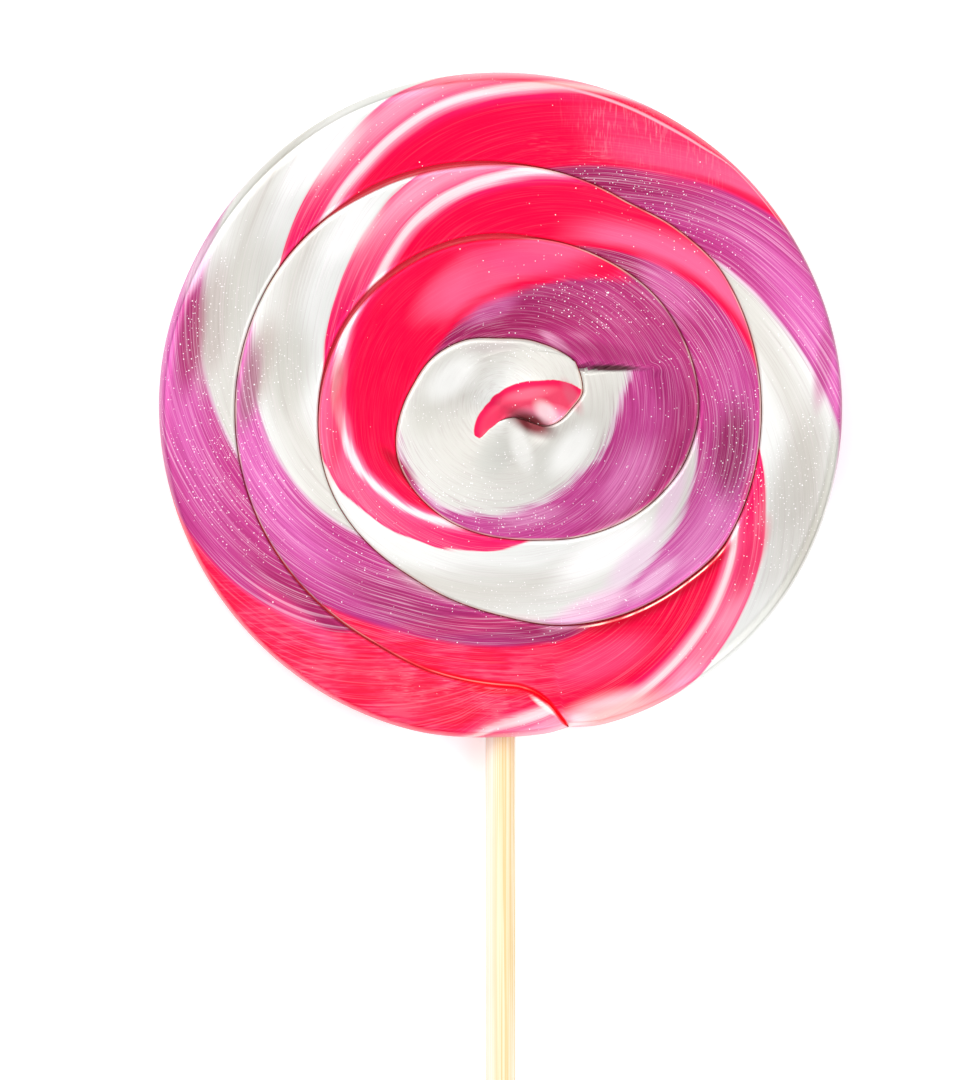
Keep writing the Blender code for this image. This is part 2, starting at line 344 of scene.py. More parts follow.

# Soft spots on the face, part tone of the sugar and part painted light (painted highlights and sheen, painted
# shade in the dimmer parts and beside the seams): pixel x and y, half length and half width in pixels, turn,
# colour, strength
PAINTED_SHEEN_AND_TONE_SPOTS = (
    (212, 322, 90, 24, 83, (186, 174, 168), 0.85),
    (262, 362, 64, 22, 80, (186, 174, 166), 0.85),
    (190, 336, 84, 20, 83, (152, 34, 84), 0.85),
    (250, 386, 62, 14, 80, (166, 108, 130), 0.85),
    (200, 262, 50, 12, 66, (236, 214, 228), 0.7),
    (338, 386, 40, 10, 83, (214, 84, 98), 0.85),
    (520, 262, 80, 18, -8, (250, 72, 126), 0.6),
    (248, 284, 80, 30, 65, (203, 202, 193), 0.7),
    (290, 372, 70, 30, 80, (198, 197, 188), 0.8),
    (796, 484, 112, 36, 76, (190, 186, 178), 0.8),
    (452, 588, 80, 18, -15, (206, 204, 196), 0.5),
    (322, 152, 80, 28, 45, (253, 253, 253), 0.7),
    (352, 230, 60, 24, 50, (253, 253, 253), 0.6),
    (606, 552, 90, 26, 32, (254, 254, 254), 0.8),
    (500, 577, 84, 16, -4, (206, 205, 198), 0.6),
    (450, 627, 110, 13, 4, (214, 58, 116), 0.55),
    (303, 622, 84, 14, -38, (232, 78, 134), 0.6),
    (556, 342, 26, 7, -35, (228, 164, 198), 0.6),
    (337, 430, 64, 10, 84, (244, 48, 94), 0.75),
    (824, 360, 64, 12, 82, (184, 74, 138), 0.8),
    (783, 558, 60, 20, 60, (206, 204, 198), 0.7),
    (446, 290, 60, 24, 46, (252, 104, 146), 0.55),
    (492, 309, 44, 15, 26, (214, 112, 174), 0.55),
    (650, 142, 110, 44, -26, (248, 62, 112), 0.6),
    (606, 714, 76, 26, 18, (250, 226, 231), 0.85),
    (706, 646, 34, 12, 50, (244, 100, 138), 0.6),
    (750, 560, 58, 15, 68, (240, 30, 96), 0.8),
    (747, 495, 40, 9, 80, (190, 40, 88), 0.5),
    (398, 466, 38, 10, -48, (156, 2, 30), 0.7),
    (668, 290, 54, 24, -45, (216, 110, 174), 0.6),
    (615, 308, 40, 20, -40, (204, 88, 150), 0.2),
    (702, 540, 70, 22, 58, (228, 140, 194), 0.5),
    (604, 660, 72, 26, 22, (252, 84, 136), 0.6),
    (530, 516, 50, 14, 8, (224, 154, 198), 0.5),
    (630, 480, 60, 30, 55, (230, 134, 194), 0.6),
    (732, 450, 70, 28, 84, (138, 24, 78), 0.85),
    (686, 448, 44, 9, 74, (150, 38, 98), 0.6),
    (670, 503, 54, 13, 66, (232, 192, 222), 0.65),
    (634, 562, 54, 17, 46, (236, 204, 228), 0.7),
    (592, 607, 62, 17, 24, (244, 204, 228), 0.85),
    (654, 580, 44, 12, 42, (240, 188, 222), 0.8),
    (664, 372, 56, 26, -75, (164, 40, 108), 0.75),
    (400, 690, 150, 30, -18, (244, 50, 82), 0.6),
    (400, 606, 110, 26, -28, (162, 46, 98), 0.55),
    (549, 303, 55, 20, -10, (158, 40, 100), 0.4),
    (500, 690, 48, 8, -4, (252, 0, 38), 0.9),
    (552, 724, 26, 10, 20, (250, 150, 182), 0.7),
    (544, 706, 21, 4, -37, (255, 246, 242), 1.0),
)

# Where the red is scuffed, with places as the spots above have them, for upright and for level scuffs
SCUFF_WIDTH = 0.22 * MM
SCUFFED_ZONES = (
    ((1.0, 0.10, 1.0), ((648, 142, 112, 50, -24),)),
    ((0.12, 1.0, 1.0), ((612, 172, 120, 30, -16), (440, 690, 120, 30, -14))),
)

# Where the glitter crowds: pixel x and y, half length and half width in pixels, turn
SPARKLE_ZONES = (
    (212, 335, 120, 40, 82), (272, 375, 90, 40, 78), (650, 215, 130, 50, -32), (480, 505, 110, 40, -10),
    (430, 415, 40, 18, 0), (500, 350, 70, 14, 0), (505, 468, 60, 30, 0), (520, 600, 110, 26, 0),
    (800, 490, 120, 60, 78), (735, 460, 100, 50, 84), (575, 285, 120, 50, -20), (230, 480, 110, 60, -60),
)

# Spots in the middle, on and round the pink hook, in the same order: tone of the sugar, a painted shadow in
# the dimple under the fold, painted highlights on the hook and the core, and painted shade in the pleat's
# crease and on the core's relief
HOOK_TONE_AND_PAINTED_LIGHT = (
    (531, 423, 34, 15, -24, (116, 46, 52), 1.0),
    (546, 412, 20, 12, -45, (250, 222, 226), 0.75),
    (572, 396, 26, 9, -62, (206, 96, 120), 0.5),
    (530, 394, 34, 8, 10, (250, 116, 140), 0.6),
    (494, 418, 26, 8, 40, (228, 40, 84), 0.6),
    (600, 352, 60, 14, -10, (140, 34, 84), 0.5),
    (611, 368, 42, 5, -1, (84, 44, 54), 1.0),
    (425, 415, 34, 20, 80, (204, 202, 194), 0.7),
    (492, 347, 40, 9, 4, (202, 192, 190), 0.7),
    (494, 456, 34, 26, 60, (196, 196, 190), 0.7),
    (545, 466, 30, 22, 90, (204, 204, 198), 0.5),
    (521, 448, 34, 14, -72, (246, 246, 244), 0.45),
    (452, 378, 44, 22, 40, (250, 250, 248), 0.7),
    (572, 450, 44, 22, 50, (250, 250, 248), 0.7),
)


def smooth_curve(points):
    """A function through (position, value) points that never swings past them."""
    places = [point[0] for point in points]
    values = [point[1] for point in points]
    rises = [(values[i + 1] - values[i]) / (places[i + 1] - places[i]) for i in range(len(points) - 1)]
    slopes = [rises[0]]
    for before, after in zip(rises, rises[1:]):
        slopes.append(2 * before * after / (before + after) if before * after > 0 else 0.0)
    slopes.append(rises[-1])

    def value_at(place):
        i = min(max(bisect.bisect_right(places, place) - 1, 0), len(rises) - 1)
        span = places[i + 1] - places[i]
        t = min(max((place - places[i]) / span, 0.0), 1.0)
        start = (1 + 2 * t) * (1 - t) ** 2 * values[i] + t * (1 - t) ** 2 * span * slopes[i]
        end = t * t * (3 - 2 * t) * values[i + 1] - t * t * (1 - t) * span * slopes[i + 1]
        return start + end

    return value_at


rim_mm = smooth_curve(RIM)
seam_mm = smooth_curve(SEAM)
hook_mm = smooth_curve(HOOK)
half_gap_mm = smooth_curve(HALF_GAP)
inner_twist = smooth_curve(TWIST_INNER)
outer_twist = smooth_curve(TWIST_OUTER)
purple_end_mm = smooth_curve(CORE_PURPLE_END)
hook_pink_mm = smooth_curve(HOOK_PINK)
rim_reach_mm = smooth_curve(RIM_REACH)
flow_outer_mm = smooth_curve(FLOW_OUTER)
flow_inner_mm = smooth_curve(FLOW_INNER)


def ease(start, end, place):
    """Rise smoothly from 0 at start to 1 at end."""
    t = min(max((place - start) / (end - start), 0.0), 1.0)
    return t * t * (3 - 2 * t)


def rounding(distance, reach):
    """Quarter-round edge: 1 at the edge itself, 0 from the reach inwards."""
    t = min(max(distance / reach, 0.0), 1.0) if reach > 0 else 0.0
    return 1.0 - sqrt(max(1.0 - (1.0 - t) ** 2, 0.0))


def place(angle, radius):
    return -radius * sin(radians(angle)), -radius * cos(radians(angle))


def seam_radius(angle):
    return (seam_mm(angle) if angle <= JUNCTION else hook_mm(angle)) * MM


def outer_radius(angle):
    """The rope's outer side is the free rim on its first turn, and then the seam one turn out."""
    return rim_mm(angle) * MM if angle < NOTCH + TURN else seam_radius(angle - TURN)


class Edge:
    """Cross-section of one side of the rope: a hairline crack with a rounded lip, or the rim."""

    def __init__(self, angle, is_rim, is_front):
        self.is_rim = is_rim
        self.left = 1.0
        if is_rim:
            self.half_gap, self.lip, self.crack, self.reach = 0.0, MIDDLE, MIDDLE, rim_reach_mm(angle) * MM
            return
        shut = ease(NOTCH, NOTCH_SHUT, angle)
        fade_start, fade_end = (HOOK_TIP, FOLD_END) if is_front else (JUNCTION, HOOK_TIP)
        left = 1.0 - ease(fade_start, fade_end, angle)
        left += ease(SEAM_END - JUNCTION_RUN_IN, SEAM_END, angle)
        self.left = left
        lip = FRONT_EDGE_DEPTH if is_front else BACK_EDGE_DEPTH
        crack = FRONT_CRACK_DEPTH if is_front else BACK_CRACK_DEPTH
        self.half_gap = half_gap_mm(angle) * MM
        crack += (OPEN_GAP_DEPTH - crack) * ease(0.0, OPEN_GAP, self.half_gap)
        self.lip = (MIDDLE + (lip - MIDDLE) * shut) * left
        self.crack = (MIDDLE + (crack - MIDDLE) * shut) * left
        rim_reach = rim_reach_mm(NOTCH) * MM
        self.reach = rim_reach + (SEAM_ROUNDING - rim_reach) * shut

    def distances(self, steps, room):
        """Distances of the rows from the side, closest first."""
        reach = min(self.reach, room - self.half_gap - WALL)
        start = [0.0, self.half_gap * 0.99, self.half_gap + WALL]
        if self.is_rim:
            start = [0.0, 0.004 * reach, 0.02 * reach]
        return start + [start[-1] + step * (reach - start[-1] + self.half_gap) for step in steps]

    def sunk(self, distance, width):
        if not self.is_rim and distance < self.half_gap + 0.5 * WALL:
            return self.crack
        return self.lip * rounding(distance - self.half_gap, min(self.reach, width))


def crack_share(edge, distance):
    """1 down in the crack, 0 on the lip and where the crack has run out."""
    return min(edge.left, 1.0) if not edge.is_rim and distance < edge.half_gap + 0.5 * WALL else 0.0


def pleat(x, y):
    """Depth of the groove under the lap."""
    if not PLEAT_START - MM < x < PLEAT_END:
        return 0.0
    left = 1.0 - ease(PLEAT_START, PLEAT_END, x)
    half_width = PLEAT_HALF_WIDTH * (PLEAT_END_WIDTH + (1.0 - PLEAT_END_WIDTH) * left)
    across = max(1.0 - abs(y - PLEAT_HEIGHT) / half_width, 0.0)
    end_share = PLEAT_END_DEPTH + (1.0 - PLEAT_END_DEPTH) * left
    return PLEAT_DEPTH * across * end_share * ease(PLEAT_END, PLEAT_END - MM, x)


def past_pleat(angle, x, y):
    """0 before the pleat and 1 past it: sudden along the lap, gentle further out."""
    if not PLEAT_TURN_START < angle < PLEAT_TURN_END:
        return float(angle >= PLEAT_TURN_END)
    blend = LAP_BLEND + PLEAT_BLEND * ease(PLEAT_END, PLEAT_BLEND_END, hypot(x, y))
    return ease(-blend, blend, PLEAT_HEIGHT - y)


def centre_relief(x, y, dimple_share):
    dimple_distance = hypot(x - DIMPLE.x, y - DIMPLE.y) / DIMPLE_SIZE
    hook_distance = hypot(x - HOOK_BACK.x, y - HOOK_BACK.y) / HOOK_SIZE
    return HOOK_RISE * exp(-hook_distance ** 2) - dimple_share * DIMPLE_DEPTH * exp(-dimple_distance ** 2)


def ripple(x, y):
    """Slight unevenness of the pressed face."""
    return RIPPLE * noise.noise(Vector((x, y, 0.0)) / RIPPLE_LENGTH)


def flow(angle, radius, inner, outer):
    """Place across the rope as its stripes see it, which don't swerve at the notch."""
    if angle < FLOW_INNER[-1][0]:
        inner = flow_inner_mm(angle) * MM
    if FLOW_OUTER[0][0] < angle < FLOW_OUTER[-1][0]:
        outer = max(flow_outer_mm(angle) * MM, outer)
    return (radius - inner) / (outer - inner) if outer > inner else 1.0


def core_twist(angle, radius):
    """Twist round the core, where the stripes run round instead of across."""
    inward = purple_end_mm(angle) - radius / MM
    return PURPLE_END_TWIST + inward * (WHITE_TWIST_PER_MM if inward > 0 else PURPLE_TWIST_PER_MM)


def drawn_grain(angle, radius, twist, past):
    """Value that stays the same along a drawn streak; the further in, the more the streaks run round."""
    inward = seam_mm(min(angle, GRAIN_LEVEL_END)) - radius / MM
    own_twist = twist + (CORE_GRAIN - twist) * past
    return own_twist + GRAIN_PER_MM * inward * ease(GRAIN_TURN_START, GRAIN_TURN_END, angle)


def rope_rows(angle, is_front, inner, outer):
    """Radii of one column's rows, from the inner seam to the outer side, and its two edges."""
    inner_edge = Edge(angle, False, is_front)
    is_rim = angle < NOTCH + TURN
    outer_edge = Edge(angle if is_rim else angle - TURN, is_rim, is_front)
    steps = EDGE_STEPS if is_front else BACK_EDGE_STEPS
    middle_steps = MIDDLE_STEPS if is_front else BACK_MIDDLE_STEPS
    room = EDGE_ROOM * (outer - inner)
    low = [inner + d for d in inner_edge.distances(steps, room)]
    high = [outer - d for d in reversed(outer_edge.distances(steps, room))]
    between = [low[-1] + (high[0] - low[-1]) * i / (middle_steps + 1) for i in range(1, middle_steps + 1)]
    return low + between + high, inner_edge, outer_edge


def rope_column(angle, is_front):
    """Points of one column across the rope, each with its rope, twist, mark and edge values."""
    inner, outer = seam_radius(angle), outer_radius(angle)
    radii, inner_edge, outer_edge = rope_rows(angle, is_front, inner, outer)
    width = outer - inner
    is_rim = angle < NOTCH + TURN
    column = []
    for radius in radii:
        x, y = place(angle, radius)
        across = (radius - inner) / width if width > 0 else 1.0
        sunk = max(inner_edge.sunk(radius - inner, width), outer_edge.sunk(outer - radius, width))
        if is_front:
            sunk = max(sunk, pleat(x, y) if angle > PLEAT_TURN_START else 0.0)
        flatness = 1.0 - min(sunk / MIDDLE, 1.0)
        crown = CROWN * 4 * across * (1 - across) if is_front else 0.0
        raised = (centre_relief(x, y, 1.0) + ripple(x, y) + crown) * flatness if is_front else 0.0
        z = THICKNESS - sunk + raised if is_front else sunk
        past = past_pleat(angle, x, y)
        flowing = flow(angle, radius, inner, outer)
        twist = inner_twist(angle) * (1 - flowing) + outer_twist(angle) * flowing
        twist += (core_twist(angle, radius) - twist) * past
        side_lag = RIM_LAG * min(outer_edge.sunk(outer - radius, width) / MIDDLE, 1.0) if is_rim else 0.0
        if is_front:
            twist -= side_lag
        else:
            twist = outer_twist(angle) - 2 * RIM_LAG + side_lag - BACK_LAG * (1 - across)
        crack = max(crack_share(inner_edge, radius - inner), crack_share(outer_edge, outer - radius))
        rim_place = (outer - radius) / outer_edge.reach if is_rim else FAR
        edges = (rim_place, (outer - radius) / MM + FAR * (1.0 - outer_edge.left))
        grain = drawn_grain(angle, radius, twist, past)
        column.append((x, y, z, angle / TURN, across, twist, grain, -FAR, crack) + edges)
    return column


HOOK_EDGE_POINTS = [place(half / 2, hook_pink_mm(half / 2) * MM)
                    for half in range(2 * HOOK_EDGE_START, 2 * HOOK_EDGE_END)]


def hook_depth(angle, x, y, radius):
    """Distance inside the pink hook from its upper edge, in mm, and negative outside it."""
    angle = angle + TURN if angle < HOOK_PINK[-1][0] - TURN else angle
    aside = min(hypot(x - px, y - py) for px, py in HOOK_EDGE_POINTS) / MM
    return aside if radius < hook_pink_mm(angle) * MM or angle < FOLD_END else -aside


def core_column(angle, is_front):
    """Points of one column of the patch inside the hook's outline, from its middle out."""
    edge_radius = seam_radius(angle)
    edge = Edge(angle, False, is_front)
    steps = EDGE_STEPS if is_front else BACK_EDGE_STEPS
    distances = edge.distances(steps, CORE_EDGE_ROOM * edge_radius)
    inward = edge_radius - distances[-1]
    radii = [inward * i / CORE_STEPS for i in range(CORE_STEPS)]
    radii += [edge_radius - d for d in reversed(distances)]
    column = []
    for radius in radii:
        x, y = place(angle, radius)
        sunk = edge.sunk(edge_radius - radius, edge_radius)
        flatness = 1.0 - min(sunk / MIDDLE, 1.0)
        dimple_share = ease(0.5, 1.0, radius / edge_radius)
        raised = (centre_relief(x, y, dimple_share) + ripple(x, y)) * flatness if is_front else 0.0
        z = THICKNESS - sunk + raised if is_front else sunk
        depth = hook_depth(angle, x, y, radius) if is_front else -FAR
        crack = crack_share(edge, edge_radius - radius)
        twist = core_twist(angle + TURN if angle < CORE_TURN_START else angle, radius)
        edges = (FAR, (edge_radius - radius) / MM + FAR * (1.0 - edge.left))
        grain = drawn_grain(angle, radius, twist, 1.0)
        column.append((x, y, z, angle / TURN, 0.0, twist, grain, depth, crack) + edges)
    return column


def column_angles(start, end):
    """Running angles a degree apart, closer at the notch and the pleat, the same on every turn."""
    one_turn = []
    for degree in range(int(TURN)):
        is_fine = degree < NOTCH_FINE_END or PLEAT_FINE_START <= degree < PLEAT_FINE_END
        parts = FINE_PARTS if is_fine else 1
        one_turn += [NOTCH + degree + part / parts for part in range(parts)]
    turns = int((end - NOTCH) // TURN) + 1
    angles = [angle + TURN * turn for turn in range(turns) for angle in one_turn]
    return [angle for angle in angles if start <= angle <= end]


def select_only(*things):
    bpy.ops.object.select_all(action="DESELECT")
    for thing in things:
        thing.select_set(True)
    bpy.context.view_layer.objects.active = things[0]


def laid_sheet(name, angles, column_at, is_front):
    """A flat grid laid on one face of the candy, with its other values as UV maps."""
    values = np.array([column_at(angle, is_front) for angle in angles])
    columns, rows = values.shape[:2]
    bpy.ops.object.select_all(action="DESELECT")
    bpy.ops.mesh.primitive_grid_add(x_subdivisions=columns - 1, y_subdivisions=rows - 1, size=2.0)
    sheet = bpy.context.object
    sheet.name = name
    mesh = sheet.data
    flat = np.zeros(len(mesh.vertices) * 3)
    mesh.vertices.foreach_get("co", flat)
    flat = flat.reshape(-1, 3)
    column = np.rint((flat[:, 0] + 1) / 2 * (columns - 1)).astype(int)
    row = np.rint((flat[:, 1] + 1) / 2 * (rows - 1)).astype(int)
    placed = values[column, row]
    mesh.vertices.foreach_set("co", placed[:, :3].ravel())
    corner = np.zeros(len(mesh.loops), int)
    mesh.loops.foreach_get("vertex_index", corner)
    mesh.uv_layers[0].name = "rope"
    for layer, first in (("rope", 3), ("twist", 5), ("marks", 7), ("edges", 9), ("drawn", 3)):
        uv = mesh.uv_layers.get(layer) or mesh.uv_layers.new(name=layer)
        pair = (first, 6) if layer == "drawn" else (first, first + 1)
        uv.data.foreach_set("uv", placed[corner][:, pair].ravel())
    mesh.update()
    return sheet


def make_candy():
    """The candy is a coiled sheet and a core patch on each face, welded along seam and rim."""
    sheets = []
    for is_front in (True, False):
        sheets.append(laid_sheet("candy", column_angles(NOTCH, SEAM_END), rope_column, is_front))
        sheets.append(laid_sheet("candy", column_angles(JUNCTION, SEAM_END), core_column, is_front))
    select_only(*sheets)
    bpy.ops.object.join()
    candy = bpy.context.object
    candy.name = "candy_rope_coil"
    bpy.ops.object.mode_set(mode="EDIT")
    bpy.ops.mesh.select_all(action="SELECT")
    bpy.ops.mesh.remove_doubles(threshold=WELD)
    bpy.ops.mesh.dissolve_degenerate(threshold=WELD / 2)
    bpy.ops.mesh.normals_make_consistent(inside=False)
    bpy.ops.object.mode_set(mode="OBJECT")
    bpy.ops.object.shade_smooth_by_angle(angle=radians(50))
    return candy


def make_stick():
    """Round bamboo stick with a softened end; its slight unevenness along the fibres is its material's bump.
    """
    length = stick_high.y - stick_low.y
    middle = (stick_high + stick_low) / 2
    bpy.ops.object.select_all(action="DESELECT")
    bpy.ops.mesh.primitive_cylinder_add(vertices=64, radius=STICK_RADIUS, depth=length, location=middle,
                                        rotation=(radians(90), 0, 0))
    stick = bpy.context.object
    stick.name = "bamboo_stick"
    bpy.ops.object.transform_apply(location=True, rotation=True, scale=True)
    bpy.ops.object.mode_set(mode="EDIT")
    bpy.ops.mesh.select_all(action="DESELECT")
    bpy.ops.object.mode_set(mode="OBJECT")
    for edge in stick.data.edges:
        ends = [stick.data.vertices[i].co.y for i in edge.vertices]
        edge.select = abs(ends[0] - ends[1]) < MM
    bpy.ops.object.mode_set(mode="EDIT")
    bpy.ops.mesh.select_mode(type="EDGE")
    bpy.ops.mesh.bevel(offset=STICK_BEVEL, segments=4, affect="EDGES")
    bpy.ops.object.mode_set(mode="OBJECT")
    bpy.ops.object.shade_smooth_by_angle(angle=radians(40))
    return stick


def linear(colour):
    """Linear colour of sRGB bytes."""
    shares = [byte / 255 for byte in colour]
    return tuple(c / 12.92 if c <= 0.04045 else ((c + 0.055) / 1.055) ** 2.4 for c in shares) + (1.0,)


class Surface:
    """A material under construction, with short calls for its nodes."""

    def __init__(self, name):
        self.material = bpy.data.materials.new(name)
        self.material.use_nodes = True
        self.tree = self.material.node_tree
        self.shader = self.tree.nodes["Principled BSDF"]

    def connect(self, value, socket):
        if isinstance(value, bpy.types.NodeSocket):
            self.tree.links.new(value, socket)
        else:
            socket.default_value = value

    def node(self, kind, inputs=None, **settings):
        made = self.tree.nodes.new(kind)
        for key, value in settings.items():
            setattr(made, key, value)
        for key, value in (inputs or {}).items():
            self.connect(value, made.inputs[key])
        return made

    def uv(self, layer):
        """The two values of one UV map."""
        split = self.node("ShaderNodeSeparateXYZ", {0: self.node("ShaderNodeUVMap", uv_map=layer).outputs[0]})
        return split.outputs[0], split.outputs[1]

    def math(self, operation, a, b=0.0, clamp=False):
        return self.node("ShaderNodeMath", {0: a, 1: b}, operation=operation, use_clamp=clamp).outputs[0]

    def product(self, first, *others):
        """All of them multiplied together."""
        for other in others:
            first = self.math("MULTIPLY", first, other)
        return first

    def span(self, value, low, high, to_low=0.0, to_high=1.0):
        """Smooth change from one value at low to another at high, and level beyond them."""
        inputs = {"Value": value, "From Min": low, "From Max": high, "To Min": to_low, "To Max": to_high}
        return self.node("ShaderNodeMapRange", inputs, interpolation_type="SMOOTHSTEP").outputs[0]

    def band(self, value, start, full_from, full_to, end):
        """1 from full_from to full_to, fading to 0 at start and at end."""
        return self.product(self.span(value, start, full_from), self.span(value, end, full_to))

    def around(self, value, middle, edge, full):
        """1 close to the middle and 0 at the edge, both given as distances from the middle."""
        return self.span(self.math("ABSOLUTE", self.math("SUBTRACT", value, middle)), edge, full)

    def vector(self, x, y, z=0.0):
        return self.node("ShaderNodeCombineXYZ", {0: x, 1: y, 2: z}).outputs[0]

    def stretched(self, position, scale):
        return self.node("ShaderNodeMapping", {"Vector": position, "Scale": scale}).outputs[0]

    def mix(self, share, a, b, blend="MIX"):
        made = self.node("ShaderNodeMix", data_type="RGBA", blend_type=blend, clamp_result=True)
        for value, socket in ((share, made.inputs[0]), (a, made.inputs[6]), (b, made.inputs[7])):
            self.connect(value, socket)
        return made.outputs[2]

    def ramp(self, value, stops):
        made = self.node("ShaderNodeValToRGB", {0: value})
        points = made.color_ramp.elements
        while len(points) < len(stops):
            points.new(0.5)
        for point, (position, colour) in zip(points, stops):
            point.position = position
            point.color = linear(colour)
        return made.outputs[0]

    def noise(self, vector, scale=1.0, detail=2.0, roughness=0.5, dimensions="2D"):
        inputs = {"Vector": vector, "Scale": scale, "Detail": detail, "Roughness": roughness}
        return self.node("ShaderNodeTexNoise", inputs, noise_dimensions=dimensions).outputs[0]

    def bump(self, height, strength, distance):
        inputs = {"Strength": strength, "Distance": distance, "Height": height}
        self.connect(self.node("ShaderNodeBump", inputs).outputs[0], self.shader.inputs["Normal"])


class CandySurface(Surface):
    """Pearly pulled sugar. Each step takes the colour so far and returns it with one thing more."""

    def __init__(self):
        super().__init__("pulled_candy")
        self.turns, self.across = self.uv("rope")
        self.twist, self.grain = self.uv("twist")
        self.hook, self.crack = self.uv("marks")
        self.rim_place, self.from_outer = self.uv("edges")
        self.position = self.node("ShaderNodeTexCoord").outputs["Object"]
        split = self.node("ShaderNodeSeparateXYZ", {0: self.position})
        self.aside, self.height = split.outputs[0], split.outputs[1]

        self.along = self.product(self.turns, ALONG_PER_TURN)
        fine = self.streaks(0.8, 250.0, roughness=0.6)
        thread = self.streaks(1.3, 130.0, roughness=0.6)
        self.broad = self.streaks(0.6, 30.0)
        wobble = self.streaks(1.7, 9.0, detail=1.0)
        self.lines = self.math("ADD", self.product(fine, 0.65), self.product(thread, 0.35))

        shifted = self.twist
        fraying = self.span(self.turns, *CORE_FRAYING)
        for streak, sway in ((self.broad, BROAD_SWAY), (fine, fraying), (wobble, WOBBLE_SWAY)):
            shifted = self.math("ADD", shifted, self.product(self.math("SUBTRACT", streak, 0.5), sway))
        self.stripe = self.math("FRACT", shifted)
        self.in_red = self.around(self.stripe, *RED_PLACE)
        self.in_purple = self.around(self.stripe, *PURPLE_PLACE)

        self.patches = self.noise(self.position, 1.0 / PATCH_SIZE, roughness=0.6, dimensions="3D")
        level = self.stretched(self.position, DASH_STRETCH)
        dashes = self.noise(level, 1.0 / DASH_WIDTH, detail=3.0, roughness=0.6, dimensions="3D")
        self.rubbed = self.math("ADD", self.product(self.patches, 0.45), self.product(dashes, 0.55))
        self.worn_zone = self.product(self.in_red, self.span(self.height, *WORN_HEIGHTS),
                                      self.span(self.aside, *WORN_SIDES, 0.1, 1.0))

    def streaks(self, length, fineness, detail=2.0, roughness=0.5):
        """Noise that is long along the rope and fine across its grain."""
        place_on_rope = self.vector(self.product(self.along, length), self.product(self.grain, fineness))
        return self.noise(place_on_rope, detail=detail, roughness=roughness)

    def soft_spot(self, x, y, length, width, turn, strength=1.0):
        """The strength inside an oval on the upper face, fading to 0 at its edge."""
        where = self.node("ShaderNodeMapping", {
            "Vector": self.position,
            "Location": ((x - DISC_CENTRE_X) * PIXEL, (DISC_CENTRE_Y - y) * PIXEL, THICKNESS),
            "Rotation": (0, 0, radians(turn)),
            "Scale": (length * PIXEL, width * PIXEL, MIDDLE),
        }, vector_type="TEXTURE").outputs[0]
        share = self.node("ShaderNodeTexGradient", {"Vector": where}, gradient_type="SPHERICAL").outputs[1]
        return self.span(share, 0.0, SPOT_CORE, 0.0, strength)

    def stripes(self):
        """The twisted stripes, which are paler towards the outer side of the first two turns."""
        outward = self.product(self.span(self.across, 0.05, 0.75),
                               self.span(self.turns, *PALER_TURNS, 1.0, 0.3))
        inside = self.ramp(self.stripe, STRIPES_INSIDE)
        return self.mix(outward, inside, self.ramp(self.stripe, STRIPES_OUTSIDE))

    def glow(self, colour):
        """A painted pink sheen pales the red before the purple, on part of each turn."""
        before_purple = self.band(self.stripe, *GLOW_PLACE)
        for start, end, strength in GLOW_TURNS:
            here = self.band(self.turns, start, start + GLOW_FADE, end - GLOW_FADE, end)
            colour = self.mix(self.product(here, before_purple, strength), colour, linear(PINK_PAINTED_SHEEN))
        return colour

    def worn_red(self, colour):
        worn = self.product(self.worn_zone, self.span(self.rubbed, 0.42, 0.58, 0.22, 0.75))
        return self.mix(worn, colour, linear(WORN_RED))

    def paint_sheen_and_tone_spots(self, colour):
        # Spots of the sugar's tone and of painted highlight, painted sheen and painted shade
        caught = self.span(self.lines, 0.25, 0.6, 0.85, 1.0)
        for x, y, length, width, turn, shade, strength in PAINTED_SHEEN_AND_TONE_SPOTS:
            spot = self.soft_spot(x, y, length, width, turn, strength)
            colour = self.mix(self.product(spot, caught), colour, linear(shade))
        return colour

    def worn_dashes(self, colour):
        light = self.product(self.worn_zone, self.span(self.rubbed, 0.51, 0.60, 0.0, 0.22))
        dark = self.product(self.worn_zone, self.span(self.rubbed, 0.48, 0.40, 0.0, 0.34))
        colour = self.mix(light, colour, linear(DASH_LIGHT))
        return self.mix(dark, colour, linear(DASH_DARK))

    def drawn_lines(self, colour):
        """Fine light and dark lines, strongest in the purple and faint in the red."""
        quiet = self.product(self.in_red, self.span(self.height, 0.0, LOUD_HEIGHT, 0.8, 0.35))
        heard = self.math("SUBTRACT", 1.0, quiet)
        light = self.product(self.span(self.lines, 0.5, 0.66),
                             self.math("ADD", 0.15, self.product(self.in_purple, 0.18)),
                             self.span(self.turns, *CALMER_TURNS, 1.0, 0.55), heard)
        dark = self.product(self.span(self.lines, 0.5, 0.34),
                            self.math("ADD", 0.15, self.product(self.in_purple, 0.32)), heard)
        colour = self.mix(light, colour, linear(LINE_LIGHT))
        return self.mix(dark, colour, linear(LINE_DARK), blend="MULTIPLY")

    def pink_hook(self, colour):
        hook_colour = self.ramp(self.product(self.hook, 1.0 / HOOK_RAMP_MM), HOOK_STOPS)
        colour = self.mix(self.span(self.hook, -0.06, 0.12), colour, hook_colour)
        # Tone, painted shadow, painted highlights and painted shade round the hook
        for x, y, length, width, turn, shade, strength in HOOK_TONE_AND_PAINTED_LIGHT:
            colour = self.mix(self.soft_spot(x, y, length, width, turn, strength), colour, linear(shade))
        return colour

